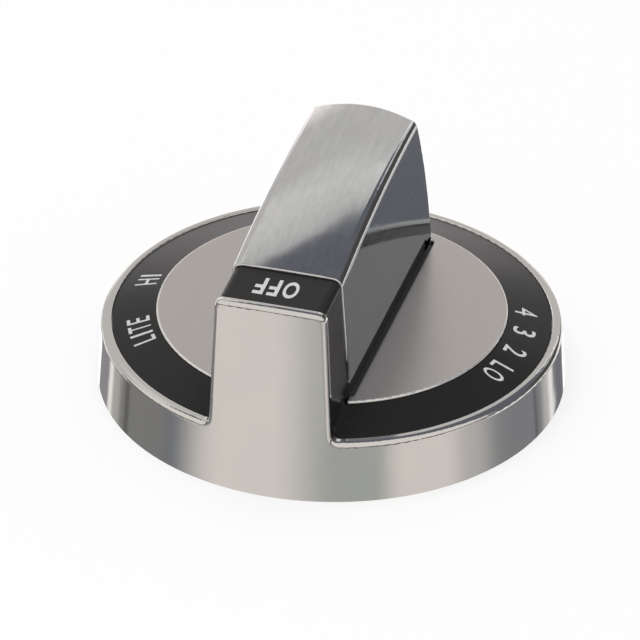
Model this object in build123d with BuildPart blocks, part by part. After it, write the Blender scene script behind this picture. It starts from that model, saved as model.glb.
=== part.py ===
from build123d import *
import os
from math import atan2, degrees, radians, sqrt, tan

os.makedirs("parts", exist_ok=True)

# Round skirt with its rolled lip
skirt_radius = 30.0
skirt_draft = 3.45
skirt_wall = 1.5
lip_top = 8.3
lip_width = 1.33
bead_radius = 0.75
small_edge = 0.15

# Inner ledge of the skirt, which carries the ring
ledge_top = 6.7
ledge_thickness = 1.3
ledge_width = 3.5

# Raised tab at the front of the skirt
tab_top = 27.35
tab_half_width = 7.95
tab_side_draft = 2.5
tab_face_draft = 0.3
tab_crown = 0.65
tab_corner_radius = 1.3
tab_flare_radius = 1.0
face_blend_radius = 150.0

# Disc of the cap and the ring round it
band_width = 5.67
disc_top = 9.96
disc_thickness = 1.5
disc_edge_radius = 0.3
band_step_below_lip = 0.14
band_step_below_disc = 0.36
band_seat_width = 1.7

# Bar grip of the cap
grip_half_width = 7.75
grip_draft = 2.0
grip_wall = 1.3
grip_corner_front = 1.4
grip_corner_rear = 0.95
grip_void_corner = 0.5
ridge_peak = 31.25
ridge_front = 27.7
ridge_peak_setback = 1.1
crown_front = 0.15
crown_rear = 0.9

# Window end and rear end of the grip, as steps inwards from the disc's rim
window_setback = 3.75
window_lean = 6.9
window_edge_radius = 0.2
rear_foot_setback = 0.7
rear_mid_setback = 2.8
rear_top_setback = 7.4
rear_edge_radius = 0.8

# Long gaps beside the grip, which show the core
gap_side_width = 0.6
gap_front_reach = 0.85
gap_rear_setback = 3.2
gap_end_radius = 0.45
gap_rim_radius = 0.2
gap_height = 1.5
gap_lift_length = 1.7
gap_lift_radius = 1.2

# Bridge block of the ring
bridge_inset = 0.22
bridge_drop = 0.45
bridge_wall = 1.4
bridge_foot_radius = 0.8
tongue_length = 1.5

# Core moulding: plinth and blade inside the grip
plinth_inset = 0.18
channel_depth = 0.6
blade_wall = 1.3
blade_rear_setback = 1.0
blade_rear_lean = 15.5

# Core moulding: deck, flange, foot ring and ribs below
deck_thickness = 1.4
deck_wall = 1.3
deck_gap = 0.3
flange_thickness = 1.4
flange_overlap = 1.33
foot_ring_wall = 1.2
foot_ring_foot = 1.0
rib_thickness = 1.2
rib_foot = 1.4
rib_sink = 0.2

# Hub and shaft socket
shaft_diameter = 8.0
shaft_flat = 2.3
socket_clearance = 0.05
socket_depth = 17.0
hub_wall = 1.5
hub_foot = 0.9
hub_roof = 2.0

# Steel collar on the hub and spring leaf in the socket
collar_wall = 0.9
collar_foot = 1.2
collar_height = 2.6
leaf_thickness = 0.4
leaf_width = 4.4
leaf_length = 12.0
leaf_bow = 0.3
leaf_hook = 2.4

# Screws from below and the bosses that take them
screw_x = 13.0
screw_y = 9.0
screw_shank_radius = 1.1
screw_head_radius = 2.2
screw_head_height = 1.4
screw_length = 4.6
boss_radius = 2.5
boss_length = 4.0
cup_wall = 1.2
cup_floor = 1.1

# Clearances
fit_gap = 0.06
loose_gap = 0.15

# Worked out from the sizes above
lip_outer_radius = skirt_radius - lip_top * tan(radians(skirt_draft))
lip_inner_radius = lip_outer_radius - lip_width
ledge_bottom = ledge_top - ledge_thickness
ledge_inner_radius = lip_inner_radius - ledge_width
disc_radius = lip_inner_radius - band_width
disc_bottom = disc_top - disc_thickness
window_foot_y = window_setback - disc_radius
ridge_front_y = window_foot_y - (ridge_front - disc_top) * tan(radians(window_lean))
rear_foot_radius = disc_radius - rear_foot_setback
rear_mid_radius = disc_radius - rear_mid_setback
rear_top_radius = disc_radius - rear_top_setback
ridge_peak_y = rear_top_radius - ridge_peak_setback
grip_stations = [disc_radius * share for share in (-1.02, -0.52, -0.02, 0.48, 0.98)]
band_outer_radius = lip_inner_radius - fit_gap
band_step_radius = disc_radius + fit_gap
band_inner_radius = disc_radius - band_seat_width
band_outer_top = lip_top - band_step_below_lip
band_inner_top = disc_top - band_step_below_disc
gap_outer_x = grip_half_width + gap_side_width
gap_middle_x = gap_outer_x - gap_end_radius
gap_front_y = window_foot_y - gap_front_reach
gap_rear_y = disc_radius - gap_rear_setback
gap_rear_lift_y = gap_rear_y - gap_lift_length
gap_top = disc_top + gap_height
channel_floor = disc_top - channel_depth
bridge_edge_radius = grip_corner_front - bridge_inset
hub_radius = shaft_diameter / 2 + socket_clearance + hub_wall
socket_roof = hub_foot + socket_depth
socket_flat = shaft_flat + socket_clearance
collar_radius = hub_radius + fit_gap + collar_wall
deck_bottom = disc_bottom - deck_thickness
deck_radius = band_inner_radius - deck_gap
flange_bottom = ledge_bottom - flange_thickness
flange_radius = ledge_inner_radius + flange_overlap
foot_ring_inner = flange_radius - foot_ring_wall
leaf_back = socket_flat + leaf_thickness
cup_radius = boss_radius + loose_gap + cup_wall
cup_top = disc_bottom - boss_length
screw_seat = cup_top - cup_floor
reach = 2 * skirt_radius
screw_places = [(sx * screw_x, sy * screw_y) for sy in (1, -1) for sx in (-1, 1)]


def distance_from_axis(point):
    """Distance of a point from the knob's own axis."""
    return sqrt(point.X ** 2 + point.Y ** 2)


def edges_between(part, low_radius, high_radius, low_z):
    """Edges that lie wholly between two radii and above a height."""
    def inside(edge):
        points = [edge @ step for step in (0, 0.25, 0.5, 0.75, 1)]
        return all(low_radius < distance_from_axis(p) < high_radius and p.Z > low_z for p in points)
    return part.edges().filter_by(inside)


def window_y(z, shift=0.0):
    """Place of the grip's open front end at a height."""
    return window_foot_y + shift - (z - disc_top) * tan(radians(window_lean))


def ridge_height(y):
    """Height of the grip's top along its middle."""
    share = (y - ridge_peak_y) / (ridge_peak_y - ridge_front_y)
    return ridge_peak - (ridge_peak - ridge_front) * share ** 2


def along_grip(y, front, rear):
    """Size that changes evenly along the grip, from its front end to its peak."""
    share = (y - ridge_front_y) / (ridge_peak_y - ridge_front_y)
    return front + (rear - front) * share


def crown_at(y):
    """Fall of the grip's top from its middle to its edge."""
    return along_grip(y, crown_front, crown_rear)


def side_x(z, inset):
    """Half width of the drafted grip at a height."""
    return grip_half_width - inset - (z - disc_top) * tan(radians(grip_draft))


def grip_section(y, inset, corner):
    """Closed cross-section of the grip, or of its void."""
    middle = ridge_height(y) - inset
    edge = middle - crown_at(y)
    with BuildSketch(Plane.XZ.offset(-y)) as section:
        with BuildLine():
            Polyline(
                (-side_x(edge, inset), edge),
                (-side_x(disc_bottom, inset), disc_bottom),
                (side_x(disc_bottom, inset), disc_bottom),
                (side_x(edge, inset), edge),
            )
            ThreePointArc((side_x(edge, inset), edge), (0, middle), (-side_x(edge, inset), edge))
        make_face()
        fillet(section.vertices().group_by(Axis.Y)[-1], radius=corner)
    return section.sketch


def gap_outline(inset):
    """Outline of the two long gaps, or of what stands in them with a clearance."""
    with BuildSketch(Plane.XY.offset(disc_bottom)) as outline:
        with Locations(*[(side * gap_middle_x, (gap_front_y + gap_rear_y) / 2) for side in (-1, 1)]):
            SlotOverall(gap_rear_y - gap_front_y - 2 * inset, 2 * (gap_end_radius - inset), rotation=90)
    return outline.sketch


def gap_side(rear_y, top):
    """Side view of the gaps where they rise into the grip's sides, or of the plinth in them."""
    with BuildSketch(Plane.YZ) as view:
        with BuildLine():
            Polyline((-reach, disc_bottom), (rear_y, disc_bottom), (rear_y, top), (-reach, top), close=True)
        make_face()
        fillet(view.vertices().sort_by_distance((rear_y, top))[0], radius=gap_lift_radius)
    return view.sketch


def rear_limit(inset):
    """Body whose rear side is the grip's rear end, round about the knob's own axis."""
    with BuildPart() as limit:
        with BuildSketch(Plane.XZ):
            with BuildLine():
                ThreePointArc(
                    (rear_foot_radius - inset, disc_bottom),
                    (rear_mid_radius - inset, (disc_bottom + ridge_peak) / 2),
                    (rear_top_radius - inset, ridge_peak + 1),
                )
                Polyline(
                    (rear_top_radius - inset, ridge_peak + 1),
                    (0, ridge_peak + 1),
                    (0, disc_bottom),
                    (rear_foot_radius - inset, disc_bottom),
                )
            make_face()
        revolve(axis=Axis.Z)
        with BuildSketch(Plane.XY.offset(disc_bottom)):
            Rectangle(reach, reach, align=(Align.CENTER, Align.MAX))
        extrude(amount=ridge_peak + 1 - disc_bottom)
    return limit.part


def front_limit(low, high, shift):
    """Block behind the leaning window plane, between two heights."""
    with BuildPart() as limit:
        with BuildSketch(Plane.YZ):
            with BuildLine():
                Polyline(
                    (window_y(low, shift), low),
                    (reach, low),
                    (reach, high),
                    (window_y(high, shift), high),
                    close=True,
                )
            make_face()
        extrude(amount=reach, both=True)
    return limit.part


def blade_body(inset, low):
    """Blade of the core inside the grip, or the pocket that is cored out of it."""
    front_shift = tongue_length + loose_gap + inset
    top_drop = grip_wall + 2 * loose_gap + inset
    front_y = window_y(ridge_front - top_drop, front_shift)
    rear_y = ridge_peak_y - blade_rear_setback - inset
    tops = [(y, ridge_height(y) - crown_at(y) - top_drop) for y in (front_y, (front_y + rear_y) / 2, rear_y)]
    side_inset = grip_wall + loose_gap + inset
    with BuildPart() as body:
        with BuildSketch(Plane.YZ):
            with BuildLine():
                ThreePointArc(*tops)
                Polyline(
                    tops[-1],
                    (rear_y + (tops[-1][1] - low) * tan(radians(blade_rear_lean)), low),
                    (window_y(low, front_shift), low),
                    tops[0],
                )
            make_face()
        extrude(amount=grip_half_width, both=True)
        with BuildSketch(Plane.XZ):
            with BuildLine():
                Polyline(
                    (-side_x(low, side_inset), low),
                    (side_x(low, side_inset), low),
                    (side_x(ridge_peak, side_inset), ridge_peak),
                    (-side_x(ridge_peak, side_inset), ridge_peak),
                    close=True,
                )
            make_face()
        extrude(amount=reach, both=True, mode=Mode.INTERSECT)
    return body.part


# Skirt shell: the whole wall is turned up to the tab's height, then cut down to the lip
with BuildPart() as skirt_shell:
    with BuildSketch(Plane.XZ) as wall_section:
        with BuildLine():
            Polyline(
                (skirt_radius, 0),
                (lip_outer_radius, lip_top),
                (lip_outer_radius - (tab_top - lip_top) * tan(radians(tab_face_draft)), tab_top + 1),
                (lip_inner_radius, tab_top + 1),
                (lip_inner_radius, ledge_top),
                (ledge_inner_radius, ledge_top),
                (ledge_inner_radius, ledge_bottom),
                (skirt_radius - skirt_wall - ledge_bottom * tan(radians(skirt_draft)), ledge_bottom),
                (skirt_radius - skirt_wall, 0),
                close=True,
            )
        make_face()
        bend = wall_section.vertices().sort_by_distance((lip_outer_radius, lip_top))[0]
        fillet(bend, radius=face_blend_radius)
    revolve(axis=Axis.Z)
    with BuildSketch(Plane.XZ) as above_lip:
        with Locations((0, lip_top)):
            Rectangle(reach + 2, tab_top, align=(Align.CENTER, Align.MIN))
    extrude(amount=-reach, mode=Mode.SUBTRACT)
    with BuildSketch(Plane.XZ) as beside_tab:
        with Locations((0, lip_top)):
            Rectangle(reach + 2, tab_top, align=(Align.CENTER, Align.MIN))
        tab_side_top = tab_top - tab_crown
        tab_top_half = tab_half_width - (tab_side_top - lip_top) * tan(radians(tab_side_draft))
        with BuildLine():
            Polyline(
                (-tab_top_half, tab_side_top),
                (-tab_half_width, lip_top),
                (tab_half_width, lip_top),
                (tab_top_half, tab_side_top),
            )
            ThreePointArc((tab_top_half, tab_side_top), (0, tab_top), (-tab_top_half, tab_side_top))
        make_face(mode=Mode.SUBTRACT)
        flares = [v for v in beside_tab.vertices() if abs(abs(v.X) - tab_half_width) < small_edge]
        fillet(flares, radius=tab_flare_radius)
        corners = [v for v in beside_tab.vertices() if abs(v.Y - tab_side_top) < small_edge]
        fillet(corners, radius=tab_corner_radius)
    extrude(amount=reach, mode=Mode.SUBTRACT)
    rim = edges_between(skirt_shell, lip_outer_radius - lip_width / 2, skirt_radius, lip_top - small_edge)
    fillet(rim, radius=bead_radius)
    inner_rim = edges_between(
        skirt_shell, lip_inner_radius - small_edge, lip_inner_radius + small_edge, lip_top - small_edge
    )
    fillet(inner_rim, radius=small_edge)
skirt_shell.part.label = "skirt_shell"

# Bridge block: bounded by the tab's inner wall, two drafted sides and the leaning window plane
bridge_floor = disc_bottom + fit_gap
with BuildPart() as bridge_block:
    with BuildSketch(Plane.XY.offset(bridge_floor)):
        Circle(band_outer_radius)
    extrude(amount=ridge_peak - bridge_floor)
    with BuildSketch(Plane.XZ):
        with BuildLine():
            Polyline(
                (-side_x(bridge_floor, bridge_inset), bridge_floor),
                (side_x(bridge_floor, bridge_inset), bridge_floor),
                (side_x(ridge_peak, bridge_inset), ridge_peak),
                (-side_x(ridge_peak, bridge_inset), ridge_peak),
                close=True,
            )
        make_face()
    extrude(amount=reach, mode=Mode.INTERSECT)
    bridge_rear_top = ridge_front - bridge_drop
    bridge_front_top = tab_top - bridge_drop
    with BuildSketch(Plane.YZ):
        with BuildLine():
            Polyline(
                (window_y(bridge_floor, -fit_gap), bridge_floor),
                (window_y(bridge_rear_top, -fit_gap), bridge_rear_top),
                (-band_outer_radius, bridge_front_top),
                (-reach, bridge_front_top),
                (-reach, bridge_floor),
                close=True,
            )
        make_face()
    extrude(amount=reach, both=True, mode=Mode.INTERSECT)
    side_tops = bridge_block.edges().filter_by(
        lambda edge: min((edge @ 0).Z, (edge @ 1).Z) > bridge_front_top - small_edge
        and abs((edge @ 0.5).X) > grip_half_width / 2
    )
    fillet(side_tops, radius=bridge_edge_radius)

# Dial band: cone-topped ring with the bridge block standing on it
with BuildPart() as dial_band:
    with BuildSketch(Plane.XZ):
        with BuildLine():
            Polyline(
                (band_inner_radius, ledge_top),
                (band_outer_radius, ledge_top),
                (band_outer_radius, band_outer_top),
                (band_step_radius, band_inner_top),
                (band_step_radius, disc_bottom),
                (band_inner_radius, disc_bottom),
                close=True,
            )
        make_face()
    revolve(axis=Axis.Z)
    add(bridge_block.part)
    foot_edges = dial_band.edges().filter_by(
        lambda edge: abs(abs((edge @ 0.5).X) - side_x(band_inner_top, bridge_inset)) < small_edge
        and band_outer_top - small_edge < (edge @ 0.5).Z < band_inner_top + small_edge
        and abs((edge @ 0).Y - (edge @ 1).Y) > bridge_wall
        and (edge @ 0.5).Y < 0
    )
    fillet(foot_edges, radius=bridge_foot_radius)
    with BuildSketch(Plane.YZ) as hollow_side:
        with BuildLine():
            Polyline(
                (-band_outer_radius + bridge_wall, ledge_top - 1),
                (-band_inner_radius - bridge_wall / 2, ledge_top - 1),
                (-band_inner_radius - bridge_wall / 2, disc_top),
                (window_y(bridge_rear_top, -bridge_wall), bridge_front_top - bridge_wall),
                (-band_outer_radius + bridge_wall, bridge_front_top - bridge_wall),
                close=True,
            )
        make_face()
    hollow_half = side_x(ridge_front, bridge_inset) - bridge_wall
    extrude(amount=hollow_half, both=True, mode=Mode.SUBTRACT)
    with BuildSketch(Plane.YZ) as tongue_side:
        with BuildLine():
            tongue_low = gap_top + grip_wall
            tongue_high = bridge_rear_top - grip_wall - loose_gap
            Polyline(
                (window_y(tongue_low, -bridge_wall / 2), tongue_low),
                (window_y(tongue_high, -bridge_wall / 2), tongue_high),
                (window_y(tongue_high, tongue_length), tongue_high),
                (window_y(tongue_low, tongue_length), tongue_low),
                close=True,
            )
        make_face()
    extrude(amount=side_x(ridge_front, grip_wall + loose_gap), both=True)
dial_band.part.label = "dial_band"

# Grip block: lofted through drafted, crowned sections and trimmed at both ends
with BuildPart() as grip_block:
    corners = [along_grip(y, grip_corner_front, grip_corner_rear) for y in grip_stations]
    loft(sections=[grip_section(y, 0, corner) for y, corner in zip(grip_stations, corners)])
    add(front_limit(disc_bottom, ridge_peak + 1, 0), mode=Mode.INTERSECT)
    add(rear_limit(0), mode=Mode.INTERSECT)
    rear_edges = grip_block.edges().filter_by(
        lambda edge: (edge @ 0.5).Y > 0
        and (edge @ 0.5).Z > disc_top
        and distance_from_axis(edge @ 0) > rear_top_radius - 1
        and distance_from_axis(edge @ 1) > rear_top_radius - 1
        and (edge @ 0).Y > ridge_peak_y - 4
        and (edge @ 1).Y > ridge_peak_y - 4
    )
    fillet(rear_edges, radius=rear_edge_radius)
    window_edges = grip_block.edges().filter_by(
        lambda edge: all(abs(p.Y - window_y(p.Z)) < small_edge for p in (edge @ 0, edge @ 0.5, edge @ 1))
        and (edge @ 0.5).Z > disc_top
    )
    fillet(window_edges, radius=window_edge_radius)

# Void inside the grip, open at the window and below
with BuildPart() as grip_void:
    loft(sections=[grip_section(y, grip_wall, grip_void_corner) for y in grip_stations])
    add(rear_limit(grip_wall), mode=Mode.INTERSECT)

# Grip cap: disc and grip in one moulding, with the long gaps and the bosses below
with BuildPart() as grip_cap:
    with BuildSketch(Plane.XY.offset(disc_bottom)):
        Circle(disc_radius)
    extrude(amount=disc_thickness)
    fillet(grip_cap.edges().group_by(Axis.Z)[-1], radius=disc_edge_radius)
    add(grip_block.part)
    add(grip_void.part, mode=Mode.SUBTRACT)
    extrude(gap_outline(0), amount=disc_thickness + gap_height / 2, mode=Mode.SUBTRACT)
    extrude(gap_side(gap_rear_lift_y, gap_top), amount=gap_middle_x, both=True, mode=Mode.SUBTRACT)
    gap_rims = grip_cap.edges().filter_by(
        lambda edge: all(abs((edge @ step).Z - disc_top) < fit_gap for step in (0, 0.5, 1))
        and side_x(disc_top, 0) < abs((edge @ 0.5).X) < gap_outer_x + fit_gap
        and edge.length > gap_rim_radius
    )
    fillet(gap_rims, radius=gap_rim_radius)
    with BuildSketch(Plane.XY.offset(disc_bottom)):
        with Locations(*screw_places):
            Circle(boss_radius)
    extrude(amount=-boss_length)
    with BuildSketch(Plane.XY.offset(cup_top)):
        with Locations(*screw_places):
            Circle(screw_shank_radius + fit_gap)
    extrude(amount=boss_length + disc_thickness / 2, mode=Mode.SUBTRACT)
grip_cap.part.label = "grip_cap"

# Plinth that shows in the long gaps: its front follows the leaning window plane
with BuildPart() as plinth:
    plinth_rear_y = gap_rear_lift_y - plinth_inset
    extrude(gap_side(plinth_rear_y, gap_top - fit_gap), amount=side_x(gap_top, plinth_inset), both=True)
    with BuildSketch(Plane.XY.offset(disc_bottom)):
        with Locations((0, plinth_rear_y)):
            Rectangle(2 * gap_middle_x, reach, align=(Align.CENTER, Align.MAX))
    extrude(amount=channel_floor - disc_bottom)
    add(front_limit(disc_bottom, ridge_peak, 0), mode=Mode.INTERSECT)
    extrude(gap_outline(plinth_inset), amount=channel_floor - disc_bottom)


# Core body: turned deck, flange and foot ring, with the plinth, blade, hub, ribs and screw cups
with BuildPart() as core_body:
    with BuildSketch(Plane.XZ):
        with BuildLine():
            Polyline(
                (0, deck_bottom),
                (deck_radius - deck_wall, deck_bottom),
                (deck_radius - deck_wall, flange_bottom),
                (foot_ring_inner, flange_bottom),
                (foot_ring_inner, foot_ring_foot),
                (flange_radius, foot_ring_foot),
                (flange_radius, ledge_bottom),
                (deck_radius, ledge_bottom),
                (deck_radius, disc_bottom),
                (0, disc_bottom),
                close=True,
            )
        make_face()
    revolve(axis=Axis.Z)
    add(plinth.part)
    add(blade_body(0, disc_bottom))
    add(blade_body(blade_wall, flange_bottom), mode=Mode.SUBTRACT)
    with BuildSketch(Plane.XY.offset(hub_foot)):
        Circle(hub_radius)
    extrude(amount=socket_depth + hub_roof)
    rib_angles = (0, degrees(atan2(screw_y, screw_x)), -degrees(atan2(screw_y, screw_x)))
    rib_levels = (
        (rib_foot, flange_bottom + rib_sink, collar_radius + loose_gap, foot_ring_inner + rib_sink),
        (flange_bottom, deck_bottom + rib_sink, hub_radius - rib_sink, deck_radius - deck_wall + rib_sink),
    )
    for low, high, inner, outer in rib_levels:
        with BuildSketch(Plane.XY.offset(low)):
            for angle in rib_angles:
                with PolarLocations((inner + outer) / 2, 2, start_angle=angle):
                    Rectangle(outer - inner, rib_thickness)
        extrude(amount=high - low)
    with BuildSketch(Plane.XY.offset(screw_seat)):
        with Locations(*screw_places):
            Circle(cup_radius)
    extrude(amount=deck_bottom - screw_seat)
    with BuildSketch(Plane.XY.offset(cup_top)):
        with Locations(*screw_places):
            Circle(boss_radius + loose_gap)
    extrude(amount=boss_length, mode=Mode.SUBTRACT)
    with BuildSketch(Plane.XY.offset(screw_seat)):
        with Locations(*screw_places):
            Circle(screw_shank_radius + loose_gap)
    extrude(amount=cup_floor, mode=Mode.SUBTRACT)
    with BuildSketch(Plane.XY.offset(foot_ring_foot)):
        with Locations(*screw_places):
            Circle(screw_head_radius + 2 * loose_gap)
    extrude(amount=screw_seat - foot_ring_foot, mode=Mode.SUBTRACT)
    with BuildSketch(Plane.XY.offset(hub_foot)):
        Circle(shaft_diameter / 2 + socket_clearance)
        with Locations((0, socket_flat)):
            Rectangle(reach, reach, align=(Align.CENTER, Align.MIN), mode=Mode.SUBTRACT)
    extrude(amount=socket_depth, mode=Mode.SUBTRACT)
    with BuildSketch(Plane.XY.offset(hub_foot)):
        with Locations((0, leaf_back + fit_gap)):
            Rectangle(leaf_width + 2 * fit_gap, leaf_back, align=(Align.CENTER, Align.MAX))
    extrude(amount=leaf_length + loose_gap, mode=Mode.SUBTRACT)
core_body.part.label = "core_body"

# Steel collar round the hub's lower end
with BuildPart() as hub_collar:
    with BuildSketch(Plane.XY.offset(collar_foot)):
        Circle(collar_radius)
        Circle(hub_radius + fit_gap, mode=Mode.SUBTRACT)
    extrude(amount=collar_height)
    chamfer(hub_collar.edges().group_by(Axis.Z)[0], length=loose_gap)
hub_collar.part.label = "hub_collar"

# Bowed spring leaf on the flat of the socket, hooked under the hub's foot
with BuildPart() as shaft_spring:
    leaf_top = hub_foot + leaf_length
    leaf_middle = (hub_foot + leaf_top) / 2
    with BuildSketch(Plane.YZ):
        with BuildLine():
            ThreePointArc((leaf_back, hub_foot), (leaf_back - leaf_bow, leaf_middle), (leaf_back, leaf_top))
            ThreePointArc(
                (leaf_back - leaf_thickness, leaf_top),
                (leaf_back - leaf_bow - leaf_thickness, leaf_middle),
                (leaf_back - leaf_thickness, hub_foot),
            )
            Line((leaf_back, leaf_top), (leaf_back - leaf_thickness, leaf_top))
            Polyline(
                (leaf_back - leaf_thickness, hub_foot),
                (leaf_back - leaf_thickness, hub_foot - leaf_thickness),
                (leaf_back + leaf_hook, hub_foot - leaf_thickness),
                (leaf_back + leaf_hook, hub_foot),
                (leaf_back, hub_foot),
            )
        make_face()
    extrude(amount=leaf_width / 2, both=True)
shaft_spring.part.label = "shaft_spring"

# Self-tapping screws from below
core_screws = []
for number, (place_x, place_y) in enumerate(screw_places, start=1):
    with BuildPart() as core_screw:
        with BuildSketch(Plane.XY.offset(screw_seat - screw_head_height)):
            with Locations((place_x, place_y)):
                Circle(screw_head_radius)
        extrude(amount=screw_head_height)
        fillet(core_screw.edges().group_by(Axis.Z)[0], radius=screw_head_height / 2)
        with BuildSketch(Plane.XY.offset(screw_seat)):
            with Locations((place_x, place_y)):
                Circle(screw_shank_radius)
        extrude(amount=screw_length)
        chamfer(core_screw.edges().group_by(Axis.Z)[-1], length=screw_shank_radius / 2)
    core_screw.part.label = f"core_screw_{number}"
    core_screws.append(core_screw)

for piece in (skirt_shell, dial_band, grip_cap, core_body, hub_collar, shaft_spring, *core_screws):
    export_step(piece.part, f"parts/{piece.part.label}.step")
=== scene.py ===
"""Looks of a cooktop control knob: plated and black finishes, printed scale, studio and camera."""
import logging
import math
from dataclasses import dataclass
from enum import Enum
from typing import Callable, Union

import bpy
import numpy as np
from mathutils import Matrix, Vector


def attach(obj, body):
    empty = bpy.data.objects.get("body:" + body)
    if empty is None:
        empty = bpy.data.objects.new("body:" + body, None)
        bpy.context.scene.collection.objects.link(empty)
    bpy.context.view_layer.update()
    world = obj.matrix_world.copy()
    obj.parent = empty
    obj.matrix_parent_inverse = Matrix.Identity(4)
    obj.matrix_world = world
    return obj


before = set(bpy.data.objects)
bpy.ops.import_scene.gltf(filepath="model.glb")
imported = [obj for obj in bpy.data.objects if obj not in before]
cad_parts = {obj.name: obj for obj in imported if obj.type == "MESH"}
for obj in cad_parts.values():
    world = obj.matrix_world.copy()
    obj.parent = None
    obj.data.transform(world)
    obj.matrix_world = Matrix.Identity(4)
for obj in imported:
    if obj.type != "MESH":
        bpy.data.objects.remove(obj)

log = logging.getLogger("knob")

MM = 0.001
BODY = "root"
SKIRT_RADIUS = 30 * MM
NOISE_LOW, NOISE_HIGH = 0.3, 0.7
X, Y, Z = 0, 1, 2

Colour = tuple[float, float, float]
Span = tuple[float, float]
Socket = bpy.types.NodeSocket
SocketValue = Union[Socket, float, tuple]
Mesh = tuple[np.ndarray, list]


def scaled(colour: Colour, shares: Colour) -> Colour:
    """Return a colour with each of its parts multiplied by a share."""
    return tuple(part * share for part, share in zip(colour, shares))


# Node trees


class Graph:
    """A node tree with short calls that add nodes and feed their inputs."""

    def __init__(self, tree: bpy.types.NodeTree) -> None:
        """Start from an empty tree.

        Args:
            tree: the node tree of a material or a world.
        """
        self.tree = tree
        tree.nodes.clear()

    def add(self, kind: str, inputs: dict[Union[str, int], SocketValue] | None = None,
            **settings: str) -> bpy.types.Node:
        """Add one node.

        Args:
            kind: Blender's name of the node type, without its ShaderNode start.
            inputs: for each input name or number, a socket to link or a value to set.
            settings: properties of the node itself.

        Returns:
            The new node.
        """
        node = self.tree.nodes.new("ShaderNode" + kind)
        for name, value in settings.items():
            setattr(node, name, value)
        for key, value in (inputs or {}).items():
            if isinstance(value, Socket):
                self.tree.links.new(value, node.inputs[key])
            else:
                node.inputs[key].default_value = value
        return node

    def maths(self, operation: str, *values: SocketValue) -> Socket:
        """Return the result of a Math node on the given values."""
        return self.add("Math", dict(enumerate(values)), operation=operation).outputs[0]

    def step(self, value: SocketValue, low: float, high: float) -> Socket:
        """Rise smoothly from 0 to 1, or fall where the values are given the other way round.

        Args:
            value: the value that the step follows.
            low: where the step is still 0.
            high: where the step has come to 1.

        Returns:
            The step.
        """
        falls = high < low
        node = self.add(
            "MapRange",
            {"Value": value, "From Min": min(low, high), "From Max": max(low, high),
             "To Min": 1.0 if falls else 0.0, "To Max": 0.0 if falls else 1.0},
            interpolation_type="SMOOTHSTEP",
        )
        return node.outputs["Result"]

    def between(self, value: SocketValue, rise: Span, fall: Span) -> Socket:
        """Return 1 between a rising step and a falling one, and 0 outside them."""
        return self.maths("MULTIPLY", self.step(value, *rise), self.step(value, *fall))

    def blend(self, share: SocketValue, first: SocketValue, second: SocketValue) -> Socket:
        """Mix two colours.

        Args:
            share: share of the second colour.
            first: the first colour.
            second: the second colour.

        Returns:
            The mixed colour.
        """
        node = self.add("Mix", data_type="RGBA")
        for key, value in ((0, share), (6, first), (7, second)):
            if isinstance(value, Socket):
                self.tree.links.new(value, node.inputs[key])
            else:
                node.inputs[key].default_value = value if key == 0 else (*value, 1.0)
        return node.outputs[2]

    def noise(self, vector: Socket, scale: float, detail: float = 3.0, roughness: float = 0.55) -> Socket:
        """Return noise from 0 to 1, with a scale in cells per unit of the vector."""
        inputs = {"Vector": vector, "Scale": scale, "Detail": detail, "Roughness": roughness}
        return self.add("TexNoise", inputs).outputs[0]

    def spread(self, noise: Socket, low: float, high: float) -> Socket:
        """Return noise with its usual span stretched from low to high."""
        ends = {"From Min": NOISE_LOW, "From Max": NOISE_HIGH, "To Min": low, "To Max": high}
        return self.add("MapRange", {"Value": noise, **ends}).outputs["Result"]

    def place(self) -> Socket:
        """Return the Object coordinates, in metres in the knob's own frame."""
        return self.add("TexCoord").outputs["Object"]

    def part(self, vector: Socket, axis: int) -> Socket:
        """Return one part of a vector."""
        return self.add("SeparateXYZ", {0: vector}).outputs[axis]

    def normal(self, axis: int) -> Socket:
        """Return one part of the surface's normal."""
        return self.part(self.add("NewGeometry").outputs["Normal"], axis)

    def turned(self, vector: Socket, axis: str, degrees: float, scale: Colour) -> Socket:
        """Turn a vector and stretch it.

        Args:
            vector: the vector.
            axis: the letter of the axis that it turns about.
            degrees: how far it turns.
            scale: factor along each axis after the turn.

        Returns:
            The turned and stretched vector.
        """
        inputs = {"Vector": vector, "Angle": math.radians(degrees)}
        turned = self.add("VectorRotate", inputs, rotation_type=f"{axis}_AXIS").outputs[0]
        return self.add("VectorMath", {0: turned, 1: scale}, operation="MULTIPLY").outputs[0]

    def around(self, vector: Socket, radius: float) -> Socket:
        """Unroll a point round Z: arc length at a radius, distance from Z, and height.

        Args:
            vector: the point.
            radius: radius that the arc length is counted at.

        Returns:
            The three measures as a vector.
        """
        split = self.add("SeparateXYZ", {0: vector}).outputs
        arc = self.maths("MULTIPLY", self.maths("ARCTAN2", split[X], split[Y]), radius)
        flat = self.add("CombineXYZ", {0: split[X], 1: split[Y]}).outputs[0]
        length = self.add("VectorMath", {0: flat}, operation="LENGTH").outputs["Value"]
        return self.add("CombineXYZ", {0: arc, 1: length, 2: split[Z]}).outputs[0]

    def bump(self, height: Socket, strength: float, depth: float) -> Socket:
        """Return the normal over a relief of the given depth in metres."""
        return self.add("Bump", {"Strength": strength, "Distance": depth, "Height": height}).outputs[0]

    def surface(self, inputs: dict[str, SocketValue]) -> None:
        """Add the Principled shader with its inputs and make it the material's surface."""
        self.add("OutputMaterial", {"Surface": self.add("BsdfPrincipled", inputs).outputs[0]})


def new_material(name: str) -> tuple[bpy.types.Material, Graph]:
    """Make a material without nodes.

    Args:
        name: the material's name.

    Returns:
        The material and its graph.
    """
    material = bpy.data.materials.new(name)
    material.use_nodes = True
    return material, Graph(material.node_tree)


# Finishes


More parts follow.
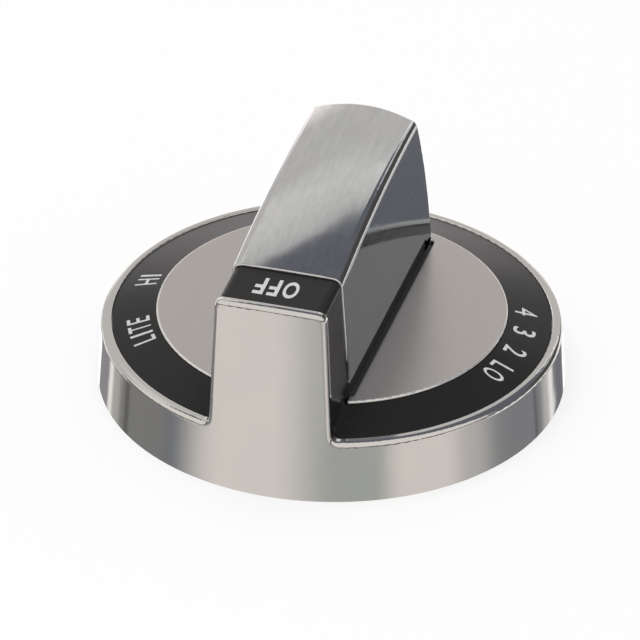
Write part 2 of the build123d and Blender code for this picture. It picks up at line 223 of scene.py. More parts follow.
class Brush(Enum):
    """Which way the fine brush marks of a plated face run, as their cells per metre along three axes.

    TURNED counts round the knob's axis, outwards and upwards. LENGTHWISE counts across the grip,
    along it and upwards.
    """

    TURNED = (260.0, 900.0, 9000.0)
    LENGTHWISE = (2800.0, 130.0, 130.0)


@dataclass(frozen=True)
class SatinPlate:
    """Satin nickel-like plating over a smooth moulding.

    Attributes:
        name: the material's name.
        colour: colour of the plating.
        polished: roughness of the smoothest places.
        satin: roughness of the dullest places.
        brush: direction of the brush marks.
        mark_depth: strength of the marks' bump.
        mark_relief: depth of the marks, in metres.
        mark_share: share of the marks in the roughness, the rest being clouds.
        slant: degrees by which lengthwise marks lean from the grip's length.
        cloud_scale: clouds per metre.
        cloud_edge: where the noise turns from the plating's colour to the clouds'.
        cloud_tint: share of each colour that a cloud gives back.
    """

    name: str
    colour: Colour
    polished: float
    satin: float
    brush: Brush
    mark_depth: float
    mark_relief: float = 0.02 * MM
    mark_share: float = 0.6
    slant: float = 4.0
    cloud_scale: float = 110.0
    cloud_edge: Span = (0.35, 0.65)
    cloud_tint: Colour = (0.975, 0.985, 0.99)

    def build(self) -> bpy.types.Material:
        """Make the material: metal whose roughness and bump follow fine brush marks.

        Returns:
            The material.
        """
        material, g = new_material(self.name)
        place = g.place()
        marks = g.noise(self.along_marks(g, place), 1.0, detail=4.0, roughness=0.65)
        cloud = g.noise(place, self.cloud_scale, detail=2.0)
        dull = g.maths("ADD", g.maths("MULTIPLY", marks, self.mark_share),
                       g.maths("MULTIPLY", cloud, 1.0 - self.mark_share))
        roughness = self.vary_roughness(g, place, g.spread(dull, self.polished, self.satin))
        clouded = scaled(self.colour, self.cloud_tint)
        tone = self.vary_tone(g, place, g.blend(g.step(cloud, *self.cloud_edge), self.colour, clouded))
        # Rims may carry a painted highlight: a pale, half matt tone.
        tone, metal = self.paint_rim_highlight(g, place, tone)
        bump = g.bump(marks, self.mark_depth, self.mark_relief)
        g.surface({"Base Color": tone, "Metallic": metal, "Roughness": roughness, "Normal": bump})
        return material

    def along_marks(self, g: Graph, place: Socket) -> Socket:
        """Give coordinates that run slowly along the brush marks and fast across them.

        Args:
            g: the material's graph.
            place: the object coordinates.

        Returns:
            The coordinates.
        """
        if self.brush is Brush.TURNED:
            return g.turned(g.around(place, SKIRT_RADIUS), "Z", 0.0, self.brush.value)
        return g.turned(place, "Z", self.slant, self.brush.value)

    def vary_roughness(self, g: Graph, place: Socket, roughness: Socket) -> Socket:
        """Return the roughness unchanged: a plain plate is alike all over."""
        return roughness

    def vary_tone(self, g: Graph, place: Socket, tone: Socket) -> Socket:
        """Return the tone unchanged: a plain plate is alike all over."""
        return tone

    def paint_rim_highlight(self, g: Graph, place: Socket, tone: Socket) -> tuple[Socket, SocketValue]:
        """Return the tone unchanged and a full share of metal: a plain plate has no painted rim highlight.
        """
        return tone, 1.0


@dataclass(frozen=True)
class CapPlate(SatinPlate):
    """Plating of the cap: satin on the disc and on top, and buffed bright on the grip's sides, which carry
    painted shade.

    Attributes:
        side_roughness: roughness of the buffed sides and of the rounded corners.
        side_shares: shares of it in the smoothest and in the dullest streaks.
        side_painted_shade: painted shade on the buffed sides, as the share of each colour they give back:
            darker and bluish in place of the dark reflection they show.
        side_edge: sideways part of the normal from which a face counts as a side.
        flat_edge: upward part of the normal from which a face is satin.
        streak_scale: buffing streaks per metre across, along and up the grip.
        streak_slant: degrees by which the streaks on the sides lean.
        streak_depth: how far the streaks change the tone.
        disc_top: height of the disc's top.
        disc_fade: height over the disc's top within which its finish ends.
        disc_tint: share of each colour that the turned disc gives back.
        disc_dulling: what the turned disc adds to the roughness.
        disc_calming: what the turned disc takes from the streaks' depth.
        rim_highlight_tone: painted highlight on the narrow rims at the disc's top, a pale tone that reads
            as a bright line there.
        rim_metal: share of metal there, lowered with the painted highlight.
        rim_rise: heights between which the rims begin, from the disc's top.
        rim_fall: heights between which they end, from the disc's top.
        rim_top: upward part of the normal at which the rims leave the disc's flat.
        rim_wall: upward part of the normal at which they reach an upright wall.
    """

    side_roughness: float = 0.06
    side_shares: Span = (0.6, 1.8)
    side_painted_shade: Colour = (0.50, 0.525, 0.56)
    side_edge: Span = (0.90, 0.97)
    flat_edge: Span = (0.90, 0.965)
    streak_scale: Colour = (1400.0, 70.0, 1700.0)
    streak_slant: float = 5.0
    streak_depth: float = 0.36
    disc_top: float = 9.96 * MM
    disc_fade: float = 0.3 * MM
    disc_tint: Colour = (0.84, 0.80, 0.77)
    disc_dulling: float = 0.24
    disc_calming: float = 0.28
    rim_highlight_tone: Colour = (0.72, 0.71, 0.69)
    rim_metal: float = 0.5
    rim_rise: Span = (-0.26 * MM, -0.20 * MM)
    rim_fall: Span = (0.10 * MM, 0.02 * MM)
    rim_top: Span = (0.98, 0.90)
    rim_wall: Span = (0.05, 0.25)

    def vary_roughness(self, g: Graph, place: Socket, roughness: Socket) -> Socket:
        """Lower the roughness where the surface stands steeply, and raise it on the turned disc.

        Args:
            g: the material's graph.
            place: the object coordinates.
            roughness: the roughness of the satin faces.

        Returns:
            The roughness of the whole cap.
        """
        flat = g.step(g.maths("ABSOLUTE", g.normal(Z)), *self.flat_edge)
        streaks = g.noise(self.along_streaks(g, place), 1.0, detail=2.0)
        side = g.spread(streaks, *(self.side_roughness * share for share in self.side_shares))
        dulled = g.maths("ADD", roughness, g.maths("MULTIPLY", self.on_disc(g, place), self.disc_dulling))
        return g.add("Mix", {0: flat, 2: side, 3: dulled}, data_type="FLOAT").outputs[0]

    def vary_tone(self, g: Graph, place: Socket, tone: Socket) -> Socket:
        """Darken the turned disc, paint shade on the buffed sides, and streak the whole cap by the buffing.

        Args:
            g: the material's graph.
            place: the object coordinates.
            tone: the tone of the satin faces.

        Returns:
            The tone of the whole cap.
        """
        disc = self.on_disc(g, place)
        side = g.step(g.maths("ABSOLUTE", g.normal(X)), *self.side_edge)
        tone = g.blend(disc, tone, scaled(self.colour, self.disc_tint))
        # Painted shade: the sides get a darker, bluish colour in place of the dark reflection they show.
        tone = g.blend(side, tone, scaled(self.colour, self.side_painted_shade))
        streaks = g.noise(self.along_streaks(g, place), 1.0, detail=3.0, roughness=0.7)
        depth = g.maths("SUBTRACT", self.streak_depth, g.maths("MULTIPLY", disc, self.disc_calming))
        change = g.maths("MULTIPLY", g.maths("SUBTRACT", streaks, 0.5), depth)
        return g.add("HueSaturation", {"Value": g.maths("ADD", change, 1.0), "Color": tone}).outputs[0]

    def along_streaks(self, g: Graph, place: Socket) -> Socket:
        """Return coordinates that run slowly along the buffing streaks and fast across them."""
        return g.turned(place, "X", self.streak_slant, self.streak_scale)

    def on_disc(self, g: Graph, place: Socket) -> Socket:
        """Return 1 up to the disc's top and 0 above it."""
        return g.step(g.part(place, Z), self.disc_top + self.disc_fade, self.disc_top)

    def paint_rim_highlight(self, g: Graph, place: Socket, tone: Socket) -> tuple[Socket, SocketValue]:
        """Paint a highlight on the narrow rounded rims at the disc's top: a pale, half matt tone that reads
        as a bright line.

        Args:
            g: the material's graph.
            place: the object coordinates.
            tone: the tone of the faces.

        Returns:
            The tone with the painted rim highlight in it, and the share of metal.
        """
        above = g.maths("SUBTRACT", g.part(place, Z), self.disc_top)
        layer = g.between(above, self.rim_rise, self.rim_fall)
        rim = g.maths("MULTIPLY", g.between(g.normal(Z), self.rim_top, self.rim_wall), layer)
        metal = g.maths("SUBTRACT", 1.0, g.maths("MULTIPLY", rim, 1.0 - self.rim_metal))
        # Painted highlight: the rims take a pale tone and less metal.
        return g.blend(rim, tone, self.rim_highlight_tone), metal


@dataclass(frozen=True)
class MouldedBlack:
    """Black moulded plastic with a fine even grain.

    Attributes:
        name: the material's name.
        colour: colour of the plastic.
        roughness: mean roughness.
        grain: strength of the grain's bump.
        gloss: how much the surface mirrors, where 0.5 is plain plastic.
        grain_scale: grains per metre.
        grain_edge: where the noise turns from the plastic's colour to a grain's.
        grain_tint: share of each colour that a grain gives back.
        grain_relief: depth of the grain, in metres.
        cloud_scale: clouds per metre in the roughness.
        cloud_range: lowest and highest change of the roughness.
    """

    name: str
    colour: Colour
    roughness: float
    grain: float
    gloss: float
    grain_scale: float = 9000.0
    grain_edge: Span = (0.35, 0.7)
    grain_tint: Colour = (1.35, 1.35, 1.35)
    grain_relief: float = 0.015 * MM
    cloud_scale: float = 160.0
    cloud_range: Span = (-0.04, 0.05)

    def build(self) -> bpy.types.Material:
        """Make the material: a dark gloss that a fine grain breaks up.

        Returns:
            The material.
        """
        material, g = new_material(self.name)
        place = g.place()
        grain = g.noise(place, self.grain_scale, detail=2.0)
        cloud = g.noise(place, self.cloud_scale, detail=2.0)
        roughness = g.spread(cloud, *(self.roughness + change for change in self.cloud_range))
        tone = g.blend(g.step(grain, *self.grain_edge), self.colour, scaled(self.colour, self.grain_tint))
        bump = g.bump(grain, self.grain, self.grain_relief)
        g.surface({"Base Color": tone, "Roughness": roughness, "Normal": bump,
                   "Specular IOR Level": self.gloss})
        return material


@dataclass(frozen=True)
class PrintInk:
    """Pale pad-printed ink with a slightly uneven cover.

    Attributes:
        name: the material's name.
        colour: colour of the ink.
        roughness: its roughness.
        cover_scale: specks per metre in the cover.
        cover_edge: where the noise turns from thin ink to full ink.
        thin_tint: share of each colour that thin ink gives back.
        cover_bump: strength of the specks' bump.
        cover_relief: depth of the specks, in metres.
    """

    name: str
    colour: Colour
    roughness: float = 0.45
    cover_scale: float = 3500.0
    cover_edge: Span = (0.3, 0.62)
    thin_tint: Colour = (0.86, 0.86, 0.86)
    cover_bump: float = 0.2
    cover_relief: float = 0.01 * MM

    def build(self) -> bpy.types.Material:
        """Make the material.

        Returns:
            The material.
        """
        material, g = new_material(self.name)
        cover = g.noise(g.place(), self.cover_scale)
        tone = g.blend(g.step(cover, *self.cover_edge), scaled(self.colour, self.thin_tint), self.colour)
        bump = g.bump(cover, self.cover_bump, self.cover_relief)
        g.surface({"Base Color": tone, "Roughness": self.roughness, "Normal": bump})
        return material


@dataclass(frozen=True)
class RolledSteel:
    """Plain or zinc-coated steel with faint rolling marks.

    Attributes:
        name: the material's name.
        colour: colour of the steel.
        roughness: mean roughness.
        roughness_shares: shares of it in the smoothest and in the dullest marks.
        mark_scale: rolling marks per metre along each axis.
        stain_scale: stains per metre.
        stain_edge: where the noise turns from the steel's colour to a stain's.
        stain_tint: share of each colour that a stain gives back.
    """

    name: str
    colour: Colour
    roughness: float
    roughness_shares: Span = (0.7, 1.3)
    mark_scale: Colour = (400.0, 400.0, 6000.0)
    stain_scale: float = 500.0
    stain_edge: Span = (0.45, 0.75)
    stain_tint: Colour = (0.93, 0.88, 0.78)

    def build(self) -> bpy.types.Material:
        """Make the material.

        Returns:
            The material.
        """
        material, g = new_material(self.name)
        place = g.place()
        marks = g.noise(g.turned(place, "Z", 0.0, self.mark_scale), 1.0)
        roughness = g.spread(marks, *(self.roughness * share for share in self.roughness_shares))
        stain = g.step(g.noise(place, self.stain_scale), *self.stain_edge)
        tone = g.blend(stain, self.colour, scaled(self.colour, self.stain_tint))
        g.surface({"Base Color": tone, "Metallic": 1.0, "Roughness": roughness})
        return material


# Pieces


def make_piece(name: str, points: np.ndarray, faces: list, material: bpy.types.Material) -> None:
    """Put a finished mesh into the scene as a piece that rides on the knob.

    Args:
        name: the piece's name.
        points: corners, in metres in the row frame.
        faces: corner numbers of each face, turned outwards.
        material: the piece's finish.
    """
    mesh = bpy.data.meshes.new(name)
    mesh.from_pydata(points.tolist(), [], faces)
    mesh.materials.append(material)
    mesh.update()
    piece = bpy.data.objects.new(name, mesh)
    bpy.context.scene.collection.objects.link(piece)
    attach(piece, BODY)
    log.info("%s: %d faces", name, len(mesh.polygons))


def dress(node: str, material: bpy.types.Material) -> None:
    """Give a CAD node its finish.

    Args:
        node: the node's name.
        material: the finish.
    """
    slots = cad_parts[node].data.materials
    slots.clear()
    slots.append(material)
    log.info("%s wears %s", node, material.name)


# Printed scale


LETTER_WIDTHS = {"O": 0.54, "F": 0.38, "L": 0.42, "I": 0.15, "T": 0.46,
                 "E": 0.42, "H": 0.54, "2": 0.52, "3": 0.52, "4": 0.60}
CURVE_STEPS = 5


def letter_mesh(letter: str, weight: float) -> Mesh:
    """Draw one letter of the built-in typeface as a solid that fills a box of side 1 from the origin.

    Args:
        letter: the letter or digit.
        weight: how far the strokes are thickened, as a share of the letter size.

    Returns:
        The corners and the faces.
    """
    text = bpy.data.curves.new("letter", "FONT")
    text.body = letter
    text.offset = weight
    text.extrude = 0.5
    text.resolution_u = CURVE_STEPS
    holder = bpy.data.objects.new("letter", text)
    mesh = bpy.data.meshes.new_from_object(holder)
    points = np.empty(len(mesh.vertices) * 3)
    mesh.vertices.foreach_get("co", points)
    points = points.reshape(-1, 3)
    faces = [tuple(polygon.vertices) for polygon in mesh.polygons]
    bpy.data.objects.remove(holder)
    bpy.data.curves.remove(text)
    bpy.data.meshes.remove(mesh)
    low, high = points.min(axis=0), points.max(axis=0)
    return (points - low) / (high - low), faces


@dataclass(frozen=True)
class DialMark:
    """One printed word or number.

    Attributes:
        name: the piece's name.
        words: what it says.
        middle: where its middle stands: degrees from the front towards +X, or metres along X on the bridge.
        height: height of its capitals, in metres.
        weight: how far the strokes are thickened, as a share of the letter size.
        spacing: space between letters, as a share of the height.
    """

    name: str
    words: str
    middle: float
    height: float = 2.9 * MM
    weight: float = 0.008
    spacing: float = 0.2

    def flat_mesh(self, thickness: float) -> Mesh:
        """Draw the word as a thin solid, centred in X, standing on Y 0, with its back at Z 0.

        Args:
            thickness: the ink's thickness, in metres.

        Returns:
            The corners and the faces.
        """
        points, faces, reach, count = [], [], 0.0, 0
        for letter in self.words:
            outline, polygons = letter_mesh(letter, self.weight)
            size = np.array([LETTER_WIDTHS[letter], 1.0, thickness / self.height])
            points.append(outline * size + [reach, 0.0, 0.0])
            faces += [tuple(corner + count for corner in polygon) for polygon in polygons]
            reach += LETTER_WIDTHS[letter] + self.spacing
            count += len(outline)
        middle = (reach - self.spacing) / 2
        return (np.vstack(points) - [middle, 0.0, 0.0]) * self.height, faces


@dataclass(frozen=True)
class PrintedScale:
    """The scale on the black ring and on the bridge block.

    Attributes:
        ink: the ink's finish.
        inner_radius: radius of the ring's top at its inner edge.
        inner_height: height of the ring's top there.
        outer_radius: radius of the ring's top at its outer edge.
        outer_height: height of the ring's top there.
        foot_radius: radius that the letters on the ring stand on.
        bridge_rear: depth place and height of the bridge top's rear edge.
        bridge_front: depth place and height of the bridge top's front edge.
        bridge_foot: depth place that the bridge's letters stand on.
        ink_thickness: thickness of the ink.
        ink_sink: how deep the ink's back lies under the face, so that no gap shows.
        slot: the record's material slot for the ink; not used.
    """

    ink: PrintInk = PrintInk("dial_ink", (0.56, 0.57, 0.58))
    inner_radius: float = 22.56 * MM
    inner_height: float = 9.6 * MM
    outer_radius: float = 28.11 * MM
    outer_height: float = 8.16 * MM
    foot_radius: float = 23.4 * MM
    bridge_rear: tuple[float, float] = (-20.86 * MM, 27.25 * MM)
    bridge_front: tuple[float, float] = (-28.11 * MM, 26.9 * MM)
    bridge_foot: float = -22.4 * MM
    ink_thickness: float = 0.035 * MM
    ink_sink: float = 0.02 * MM
    slot: str = "band_black"

    def ring_marks(self) -> list[DialMark]:
        """List the words and numbers on the ring.

        Returns:
            The marks, from the left side round the front to the right.
        """
        return [
            DialMark("mark_high", "HI", -91.7),
            DialMark("mark_lite", "LITE", -63.3),
            DialMark("mark_low", "LO", 73.0),
            DialMark("mark_two", "2", 85.0),
            DialMark("mark_three", "3", 96.0),
            DialMark("mark_four", "4", 107.0, weight=0.0),
        ]

    def bridge_marks(self) -> list[DialMark]:
        """Return the word on the bridge block, which is larger and bolder."""
        return [DialMark("mark_off", "OFF", -0.3 * MM, height=3.55 * MM, weight=0.024, spacing=0.13)]

    def on_ring(self, flat: np.ndarray, mark: DialMark) -> np.ndarray:
        """Wrap flat letters on the cone, read clockwise with their tops outwards.

        A point's X becomes an arc length clockwise round the ring at its mean radius, Y is added
        to the letters' foot radius, and Z is the height over the cone's straight line.

        Args:
            flat: corners of the flat letters.
            mark: the word, whose middle is an azimuth.

        Returns:
            The corners on the ring.
        """
        mean = self.foot_radius + mark.height / 2
        angle = math.radians(mark.middle) - flat[:, X] / mean
        radius = self.foot_radius + flat[:, Y]
        share = (radius - self.inner_radius) / (self.outer_radius - self.inner_radius)
        face = self.inner_height + (self.outer_height - self.inner_height) * share
        height = face + flat[:, Z] - self.ink_sink
        return np.column_stack([radius * np.sin(angle), -radius * np.cos(angle), height])

    def on_bridge(self, flat: np.ndarray, mark: DialMark) -> np.ndarray:
        """Lay flat letters on the bridge's sloping top, with their tops towards the front.

        A point's X runs towards -X, its Y towards the front from the letters' foot, and its Z is
        the height over the straight line from the bridge's rear edge to its front edge.

        Args:
            flat: corners of the flat letters.
            mark: the word, whose middle is a place along X.

        Returns:
            The corners on the bridge.
        """
        depth = self.bridge_foot - flat[:, Y]
        (rear_y, rear_z), (front_y, front_z) = self.bridge_rear, self.bridge_front
        face = rear_z + (front_z - rear_z) * (depth - rear_y) / (front_y - rear_y)
        return np.column_stack([mark.middle - flat[:, X], depth, face + flat[:, Z] - self.ink_sink])

    def build(self) -> None:
        """Print every mark on its face."""
        ink = self.ink.build()
        jobs: list[tuple[list[DialMark], Callable]] = [
            (self.ring_marks(), self.on_ring), (self.bridge_marks(), self.on_bridge),
        ]
        for marks, wrap in jobs:
            for mark in marks:
                flat, faces = mark.flat_mesh(self.ink_thickness)
                make_piece(mark.name, wrap(flat, mark), faces, ink)


# The knob's mouldings and steel pieces


@dataclass(frozen=True)
class PlatedParts:
    """The two plated mouldings.

    Attributes:
        skirt: finish of the skirt with its tab.
        cap: finish of the cap with its grip.
    """

    skirt: SatinPlate = SatinPlate("skirt_plate", (0.68, 0.665, 0.64), 0.06, 0.11, Brush.TURNED, 0.05)
    cap: CapPlate = CapPlate("cap_plate", (0.64, 0.635, 0.63), 0.07, 0.09, Brush.LENGTHWISE, 0.02)

    def build(self) -> None:
        """Dress both mouldings."""
        dress("skirt_shell", self.skirt.build())
        dress("grip_cap", self.cap.build())


@dataclass(frozen=True)
class BlackParts:
    """The two black mouldings.

    Attributes:
        band: finish of the ring with its bridge.
        core: finish of the core.
    """

    band: MouldedBlack = MouldedBlack("band_black", (0.0155, 0.0147, 0.0146), 0.23, 0.10, 0.15)
    core: MouldedBlack = MouldedBlack("core_black", (0.030, 0.030, 0.031), 0.42, 0.20, 0.5)

    def build(self) -> None:
        """Dress both mouldings."""
        dress("dial_band", self.band.build())
        dress("core_body", self.core.build())


@dataclass(frozen=True)
class SteelParts:
    """The steel pieces below.

    Attributes:
        collar: finish of the hub's collar.
        spring: finish of the shaft's spring leaf.
        screw: finish of the screws.
        screws: how many screws there are.
    """

    collar: RolledSteel = RolledSteel("collar_steel", (0.52, 0.51, 0.49), 0.32)
    spring: RolledSteel = RolledSteel("spring_steel", (0.36, 0.38, 0.42), 0.28)
    screw: RolledSteel = RolledSteel("screw_zinc", (0.66, 0.65, 0.6), 0.26)
    screws: int = 4

    def build(self) -> None:
        """Dress the collar, the leaf and each screw."""
        dress("hub_collar", self.collar.build())
        dress("shaft_spring", self.spring.build())
        zinc = self.screw.build()
        for number in range(1, self.screws + 1):
            dress(f"core_screw_{number}", zinc)


# Camera and studio


@dataclass(frozen=True)
class PhotoCamera:
    """The camera at the photograph's viewing angle.

    Attributes:
        azimuth: degrees from the front towards +X.
        elevation: degrees above the floor.
        roll: degrees by which the picture is turned.
        distance: from the knob's bottom centre, in metres.
        focal_pixels: focal length in pixels of the picture.
        picture: side of the square picture, in pixels.
        origin: pixel at which the knob's bottom centre stands.
    """

    azimuth: float = 15.8
    elevation: float = 32.32
    roll: float = 0.56
    distance: float = 0.8
    focal_pixels: float = 6217.1
    picture: float = 640.0
    origin: tuple[float, float] = (331.44, 371.69)

    def build(self) -> None:
        """Place the camera so that the knob's bottom centre falls on its pixel."""
        a, e, r = (math.radians(x) for x in (self.azimuth, self.elevation, self.roll))
        back = Vector((math.sin(a) * math.cos(e), -math.cos(a) * math.cos(e), math.sin(e)))
        level = Vector((math.cos(a), math.sin(a), 0.0))
        upright = back.cross(level)
        right = level * math.cos(r) + upright * math.sin(r)
        up = upright * math.cos(r) - level * math.sin(r)
        half = self.picture / 2
        side = (self.origin[X] - half) * self.distance / self.focal_pixels
        rise = (half - self.origin[Y]) * self.distance / self.focal_pixels
        lens = bpy.data.cameras.new("photo_camera")
        lens.lens = self.focal_pixels * lens.sensor_width / self.picture
        camera = bpy.data.objects.new("photo_camera", lens)
        turn = Matrix((right, up, back)).transposed().to_4x4()
        place = -(right * side + up * rise - back * self.distance)
        camera.matrix_world = Matrix.Translation(place) @ turn
        bpy.context.scene.collection.objects.link(camera)
        bpy.context.scene.camera = camera


@dataclass(frozen=True)
class Card:
    """One upright card of the studio, as the metal sees it below the horizon.

    Attributes:
        azimuth: its middle, in degrees from the front towards +X.
        half_width: half its width, in degrees.
        edge: softness of its edges, in degrees.
        tone: its colour.
    """

    azimuth: float
    half_width: float
    edge: float
    tone: Colour

    def over(self, g: Graph, angle: Socket, colour: SocketValue) -> Socket:
        """Stand the card in front of a colour.

        Args:
            g: the graph.
            angle: azimuth that is looked in, in radians.
            colour: the tone behind the card.

        Returns:
            The tone with the card in it.
        """
        apart = g.maths("SUBTRACT", angle, math.radians(self.azimuth))
        away = g.maths("ABSOLUTE", g.maths("WRAP", apart, math.pi, -math.pi))
        inner, outer = (math.radians(self.half_width + side * self.edge) for side in (-1, 1))
        return g.blend(g.step(away, outer, inner), colour, self.tone)


@dataclass(frozen=True)
class Panel:
    """One panel of the studio above the horizon: the cap of the sky round a direction.

    Attributes:
        toward: direction of the panel's middle.
        spread: angle from the middle to the edge, in degrees.
        edge: softness of the edge, in degrees.
        tone: its colour.
    """

    toward: Colour
    spread: float
    edge: float
    tone: Colour

    def over(self, g: Graph, direction: Socket, colour: SocketValue) -> Socket:
        """Hang the panel in front of a colour.

        Args:
            g: the graph.
            direction: the direction that is looked in.
            colour: the tone behind the panel.

        Returns:
            The tone with the panel in it.
        """
        dot = g.add("VectorMath", {0: direction, 1: self.toward}, operation="DOT_PRODUCT").outputs["Value"]
        inner, outer = (math.cos(math.radians(self.spread + side * self.edge)) for side in (-1, 1))
        return g.blend(g.step(dot, outer, inner), colour, self.tone)


@dataclass(frozen=True)
class Surround:
    """What the metal sees of the studio: tones that stand round the knob in its reflections.

    Heights are the upward part of a direction of length 1, and depths are its part towards the back.

    Attributes:
        sky_tone: tone of the room above the horizon.
        high_tone: tone of the room higher up.
        high_edge: heights between which it begins.
        glint: the bright strip that shows beside the dark overhead panel, low down.
        panels: the panels above the horizon, each over the one before.
        front_tone: tone of the room in front.
        front_edge: depths between which it begins.
        brim_tone: tone of the dark brim low in front.
        brim_edge: heights between which the brim ends.
        low_tone: tone of the sweep below the horizon, between the cards.
        low_edge: heights between which the sweep begins.
        cards: the cards that stand round the knob, each over the one before.
        line_tone: tone of the two bright strips behind.
        line_rise: heights between which the narrow strip begins.
        line_fall: heights between which it ends.
        glow_rise: heights between which the broad strip begins.
        glow_fall: heights between which it ends.
        glow_edge: depths between which the broad strip begins.
    """

    sky_tone: Colour = (0.66, 0.65, 0.64)
    high_tone: Colour = (0.80, 0.795, 0.78)
    high_edge: Span = (0.59, 0.67)
    glint: Panel = Panel((0.632, -0.509, 0.585), 93.2, 0.4, (1.35, 1.34, 1.33))
    panels: tuple[Panel, ...] = (
        Panel((-0.30, 0.95, 0.06), 20.0, 5.0, (1.40, 1.33, 1.32)),
        Panel((0.0, 0.30, 0.95), 22.0, 10.0, (0.42, 0.42, 0.43)),
        Panel((0.632, -0.509, 0.585), 90.0, 0.4, (0.15, 0.155, 0.185)),
        Panel((0.284, 0.813, 0.507), 6.0, 3.0, (0.77, 0.79, 0.82)),
        Panel((0.62, 0.76, 0.18), 20.0, 6.0, (0.09, 0.085, 0.08)),
    )
    front_tone: Colour = (0.92, 0.885, 0.86)
    front_edge: Span = (0.18, 0.02)
    brim_tone: Colour = (0.20, 0.175, 0.16)
    brim_edge: Span = (0.10, 0.22)
    low_tone: Colour = (0.15, 0.162, 0.20)
    low_edge: Span = (-0.05, -0.10)
    cards: tuple[Card, ...] = (
        Card(120.0, 30.0, 12.0, (0.27, 0.275, 0.295)),
        Card(-104.0, 34.0, 8.0, (0.26, 0.26, 0.265)),
        Card(20.0, 74.0, 26.0, (0.48, 0.50, 0.48)),
        Card(84.0, 13.0, 9.0, (0.60, 0.585, 0.58)),
        Card(-26.0, 28.0, 17.0, (0.89, 0.84, 0.81)),
        Card(62.0, 18.0, 8.0, (0.88, 0.82, 0.79)),
        Card(149.7, 7.2, 3.5, (0.60, 0.59, 0.58)),
        Card(153.6, 3.1, 2.6, (1.10, 1.08, 1.07)),
        Card(135.3, 1.2, 0.8, (0.14, 0.14, 0.15)),
        Card(168.5, 10.8, 1.0, (0.19, 0.195, 0.22)),
        Card(-135.0, 8.0, 2.0, (0.31, 0.30, 0.32)),
        Card(-118.7, 7.8, 3.0, (0.50, 0.49, 0.475)),
        Card(-123.5, 2.8, 1.8, (1.04, 1.01, 1.00)),
        Card(-103.5, 2.0, 1.2, (0.15, 0.145, 0.145)),
        Card(-163.8, 16.9, 3.2, (1.75, 1.73, 1.72)),
    )
    line_tone: Colour = (1.30, 1.285, 1.27)
    line_rise: Span = (-0.32, -0.27)
    line_fall: Span = (-0.12, -0.16)
    glow_rise: Span = (-0.52, -0.38)
    glow_fall: Span = (0.03, 0.0)
    glow_edge: Span = (0.78, 0.92)

    def upper_tone(self, g: Graph, direction: Socket, height: Socket) -> Socket:
        """Give the tone of the room above the horizon, but for its front.

        Args:
            g: the world's graph.
            direction: the direction that is looked in.
            height: its upward part.

        Returns:
            The tone.
        """
        colour = self.glint.over(g, direction, self.sky_tone)
        colour = g.blend(g.step(height, *self.high_edge), colour, self.high_tone)
        for panel in self.panels:
            colour = panel.over(g, direction, colour)
        return colour

    def lower_tone(self, g: Graph, direction: Socket) -> SocketValue:
        """Give the tone of the sweep and its cards below the horizon.

        Args:
            g: the world's graph.
            direction: the direction that is looked in.

        Returns:
            The tone.
        """
        forward = g.maths("MULTIPLY", g.part(direction, Y), -1.0)
        angle = g.maths("ARCTAN2", g.part(direction, X), forward)
        colour = self.low_tone
        for card in self.cards:
            colour = card.over(g, angle, colour)
        return colour

    def tone(self, g: Graph, direction: Socket) -> Socket:
        """Give the tone that the metal sees in a direction.

        Args:
            g: the world's graph.
            direction: the direction that is looked in.

        Returns:
            The tone.
        """
        height, depth = g.part(direction, Z), g.part(direction, Y)
        front = g.step(depth, *self.front_edge)
        ahead = g.blend(g.step(height, *self.brim_edge), self.brim_tone, self.front_tone)
        colour = g.blend(front, self.upper_tone(g, direction, height), ahead)
        colour = g.blend(g.step(height, *self.low_edge), colour, self.lower_tone(g, direction))
        line = g.between(height, self.line_rise, self.line_fall)
        line = g.maths("MULTIPLY", line, g.maths("SUBTRACT", 1.0, front))
        colour = g.blend(line, colour, self.line_tone)
        glow = g.between(height, self.glow_rise, self.glow_fall)
        glow = g.maths("MULTIPLY", glow, g.step(depth, *self.glow_edge))
        return g.blend(glow, colour, self.line_tone)


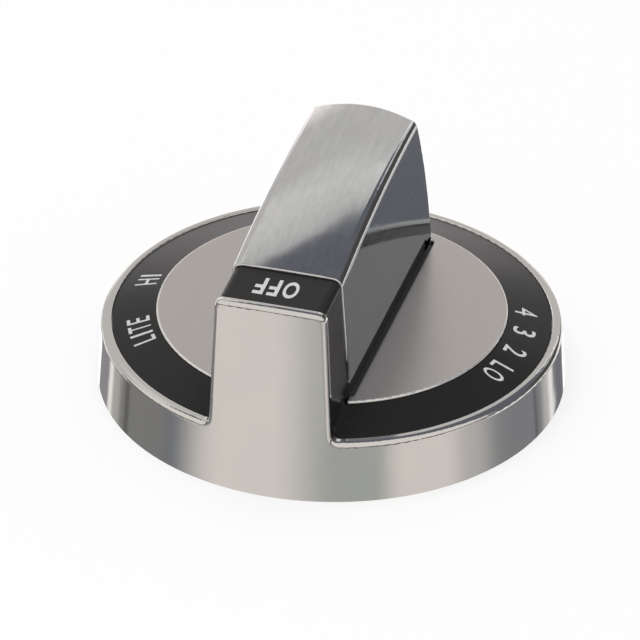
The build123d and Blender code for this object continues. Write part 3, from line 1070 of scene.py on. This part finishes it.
@dataclass(frozen=True)
class Studio:
    """A pale floor, a soft overhead lamp and a white surround.

    Attributes:
        surround: the tones that show in reflections.
        fill_tone: tone of the surround as it lights matt surfaces.
        fill_strength: strength of that light.
        floor_radius: radius of the floor.
        floor_corners: corners of its round edge.
        floor_tone: tone of the floor's paper.
        floor_white: share of plain white that the camera sees on the floor.
        lamp_place: place of the overhead lamp, which points at the knob.
        lamp_size: side of the lamp.
        lamp_watts: its power.
    """

    surround: Surround = Surround()
    fill_tone: float = 0.93
    fill_strength: float = 0.8
    floor_radius: float = 0.45
    floor_corners: int = 96
    floor_tone: float = 0.86
    floor_white: float = 0.72
    lamp_place: tuple[float, float, float] = (-0.06, -0.05, 0.7)
    lamp_size: float = 0.42
    lamp_watts: float = 2.2

    def build_floor(self) -> None:
        """Lay the floor: white to the camera with the knob's shadow, and clear to mirror rays."""
        material, g = new_material("pale_floor")
        rays = g.add("LightPath").outputs
        paper = g.add("BsdfDiffuse", {"Color": (*[self.floor_tone] * 3, 1.0)}).outputs[0]
        white = g.add("Emission", {"Color": (1.0, 1.0, 1.0, 1.0), "Strength": 1.0}).outputs[0]
        seen = g.add("MixShader", {0: self.floor_white, 1: paper, 2: white}).outputs[0]
        camera = g.add("MixShader", {0: rays["Is Camera Ray"], 1: paper, 2: seen}).outputs[0]
        clear = g.add("BsdfTransparent").outputs[0]
        glossy = g.add("MixShader", {0: rays["Is Glossy Ray"], 1: camera, 2: clear})
        g.add("OutputMaterial", {"Surface": glossy.outputs[0]})
        turns = np.linspace(0.0, 2 * math.pi, self.floor_corners, endpoint=False)
        rim = np.column_stack([np.cos(turns), np.sin(turns), np.zeros_like(turns)]) * self.floor_radius
        mesh = bpy.data.meshes.new("floor")
        mesh.from_pydata(rim.tolist(), [], [tuple(range(len(rim)))])
        mesh.materials.append(material)
        floor = bpy.data.objects.new("floor", mesh)
        bpy.context.scene.collection.objects.link(floor)

    def build_world(self) -> None:
        """Make the surround: white to the camera, even to matt surfaces, and toned in reflections."""
        world = bpy.data.worlds.new("studio_surround")
        bpy.context.scene.world = world
        world.use_nodes = True
        g = Graph(world.node_tree)
        tone = self.surround.tone(g, g.add("TexCoord").outputs["Generated"])
        rays = g.add("LightPath").outputs
        even = {"Color": (*[self.fill_tone] * 3, 1.0), "Strength": self.fill_strength}
        fill = g.add("Background", even).outputs[0]
        toned = g.add("Background", {"Color": tone, "Strength": 1.0}).outputs[0]
        white = g.add("Background", {"Color": (1.0, 1.0, 1.0, 1.0), "Strength": 1.0}).outputs[0]
        glossy = g.add("MixShader", {0: rays["Is Glossy Ray"], 1: fill, 2: toned}).outputs[0]
        camera = g.add("MixShader", {0: rays["Is Camera Ray"], 1: glossy, 2: white})
        g.add("OutputWorld", {"Surface": camera.outputs[0]})

    def build_lamp(self) -> None:
        """Hang the soft lamp over the knob."""
        light = bpy.data.lights.new("overhead_softbox", "AREA")
        light.size = self.lamp_size
        light.energy = self.lamp_watts
        lamp = bpy.data.objects.new("overhead_softbox", light)
        lamp.location = self.lamp_place
        lamp.rotation_euler = (-lamp.location).to_track_quat("-Z", "Y").to_euler()
        lamp.visible_glossy = False
        bpy.context.scene.collection.objects.link(lamp)

    def build(self) -> None:
        """Set up the floor, the surround, the lamp and the plain view transform."""
        self.build_floor()
        self.build_world()
        self.build_lamp()
        bpy.context.scene.view_settings.view_transform = "Standard"


def main() -> None:
    """Dress the knob, print its scale and set up the studio."""
    logging.basicConfig(level=logging.INFO, format="%(name)s: %(message)s")
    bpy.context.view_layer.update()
    PhotoCamera().build()
    for assembly in (PlatedParts(), BlackParts(), SteelParts(), PrintedScale(), Studio()):
        assembly.build()


if __name__ == "__main__":
    main()
